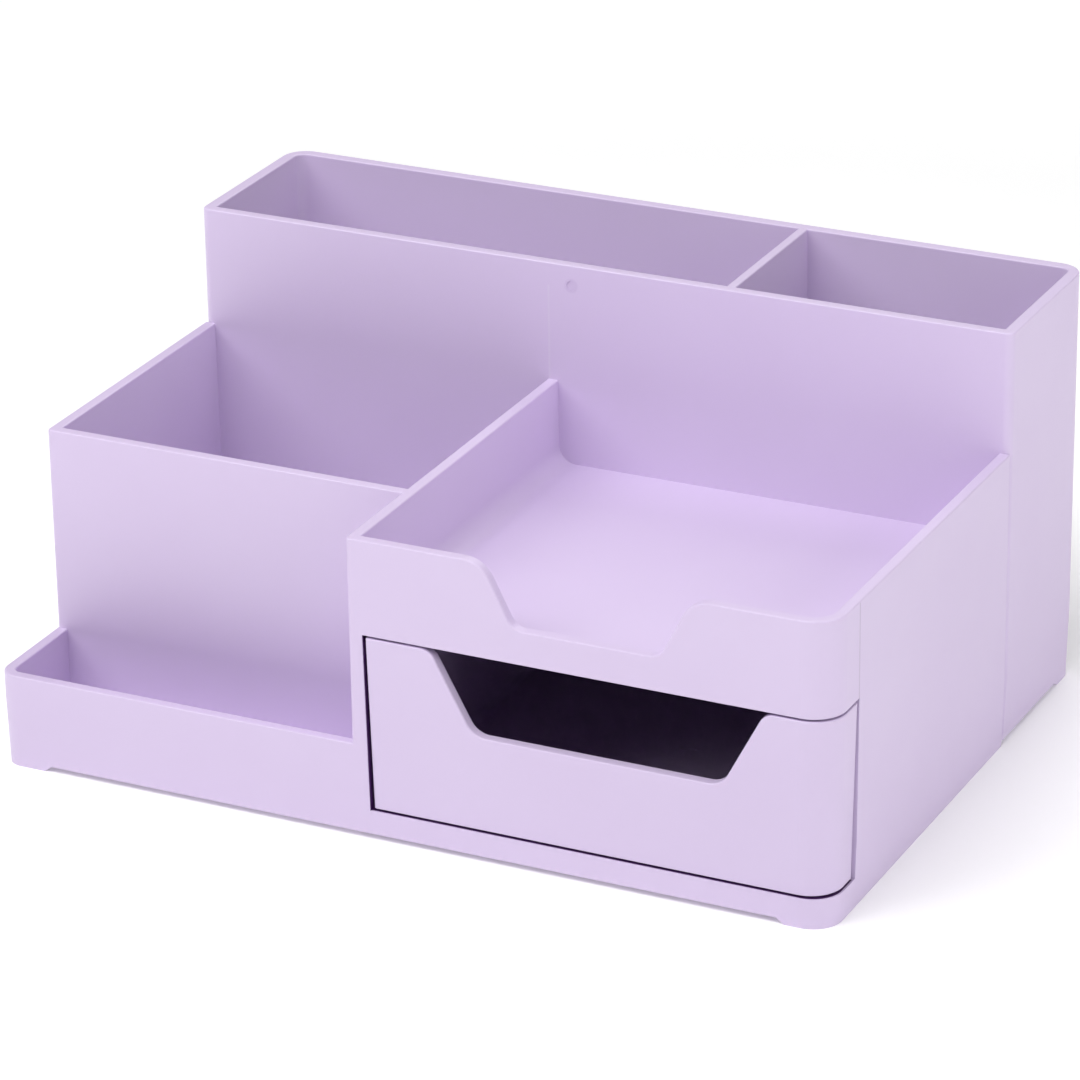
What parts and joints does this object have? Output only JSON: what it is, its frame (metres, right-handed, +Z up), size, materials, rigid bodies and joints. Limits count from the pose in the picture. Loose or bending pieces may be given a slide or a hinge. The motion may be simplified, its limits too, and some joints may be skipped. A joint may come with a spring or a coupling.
{
  "type": "desk organizer with drawer",
  "caption": "Moulded desk organizer: tall compartments along the back, a pen cup and low clip tray at the left, an open tray over a sliding drawer at the right.",
  "frame": {"origin": "on the surface that the object stands on, under the middle of the overall box", "axes": "+X to the right seen from the front, +Y to the back, +Z up; the drawer's front faces -Y"},
  "size_m": [0.26, 0.188, 0.128],
  "materials": {
    "housing_plastic": "satin moulded plastic, lavender"
  },
  "bodies": {
    "housing": {"front_housing": "housing_plastic", "rear_housing": "housing_plastic"},
    "drawer": {"drawer": "housing_plastic"}
  },
  "joints": [
    {"name": "drawer_slide", "type": "slide", "parent": "housing", "child": "drawer", "axis": [0, -1, 0], "range_m": [0, 0.095]}
  ]
}
